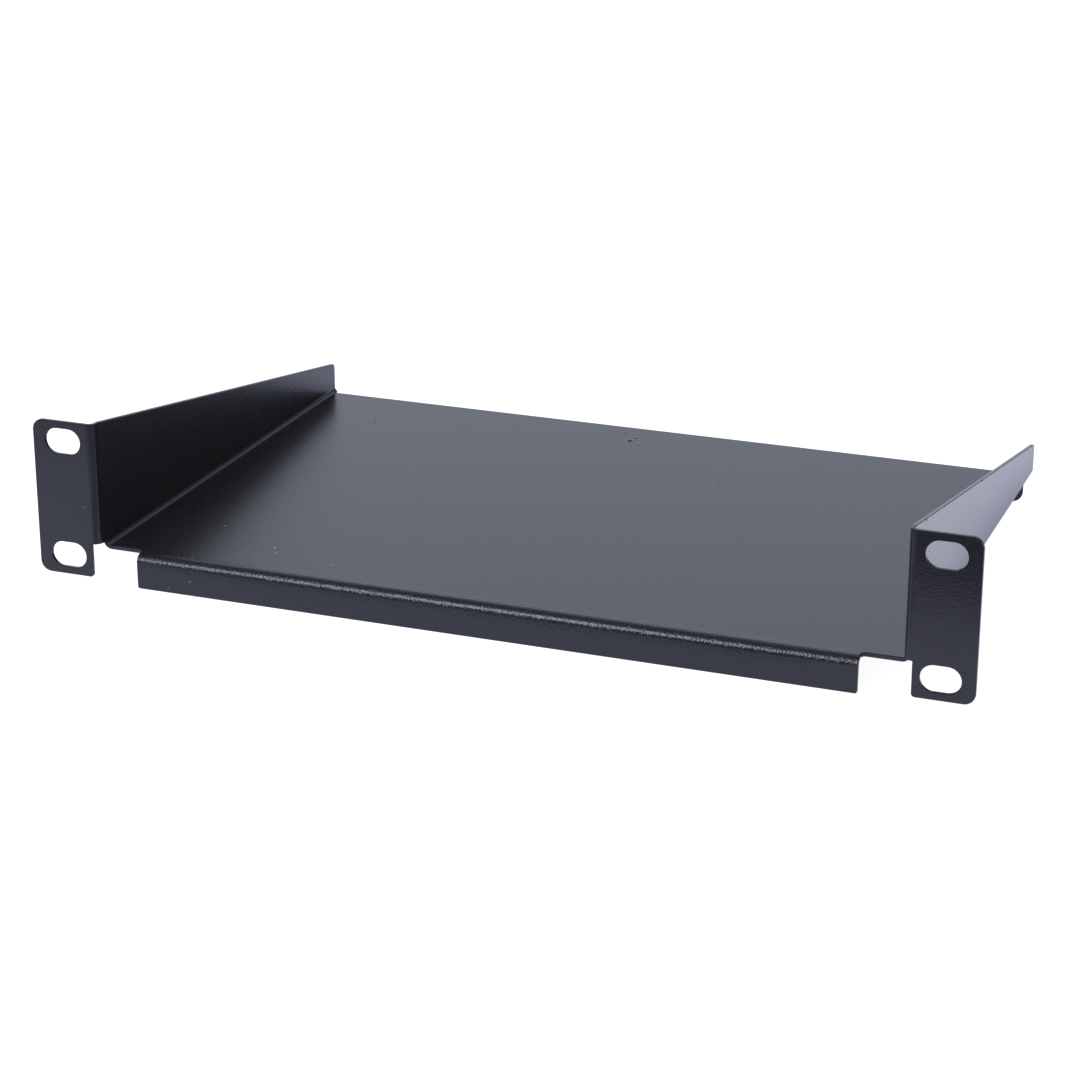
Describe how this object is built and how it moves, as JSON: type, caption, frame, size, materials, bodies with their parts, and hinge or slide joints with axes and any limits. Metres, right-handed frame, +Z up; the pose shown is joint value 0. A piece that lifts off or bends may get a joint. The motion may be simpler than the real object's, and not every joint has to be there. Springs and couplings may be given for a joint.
{
  "type": "cantilever rack shelf",
  "caption": "Half-width rack shelf folded from one steel sheet: flat deck, tapered side panels, slotted ears and turned-down lips, held at its front ears only.",
  "frame": {"origin": "centre of the four slots, on the plane of the ears' back faces, which seat against the rack rails", "axes": "+X to the right as seen from the front of the rack, +Y to the rear, +Z up"},
  "size_m": [0.254, 0.15, 0.0441],
  "materials": {
    "powder_coat": "fine-textured satin powder coat"
  },
  "bodies": {
    "root": {"shelf": "powder_coat"}
  },
  "joints": []
}
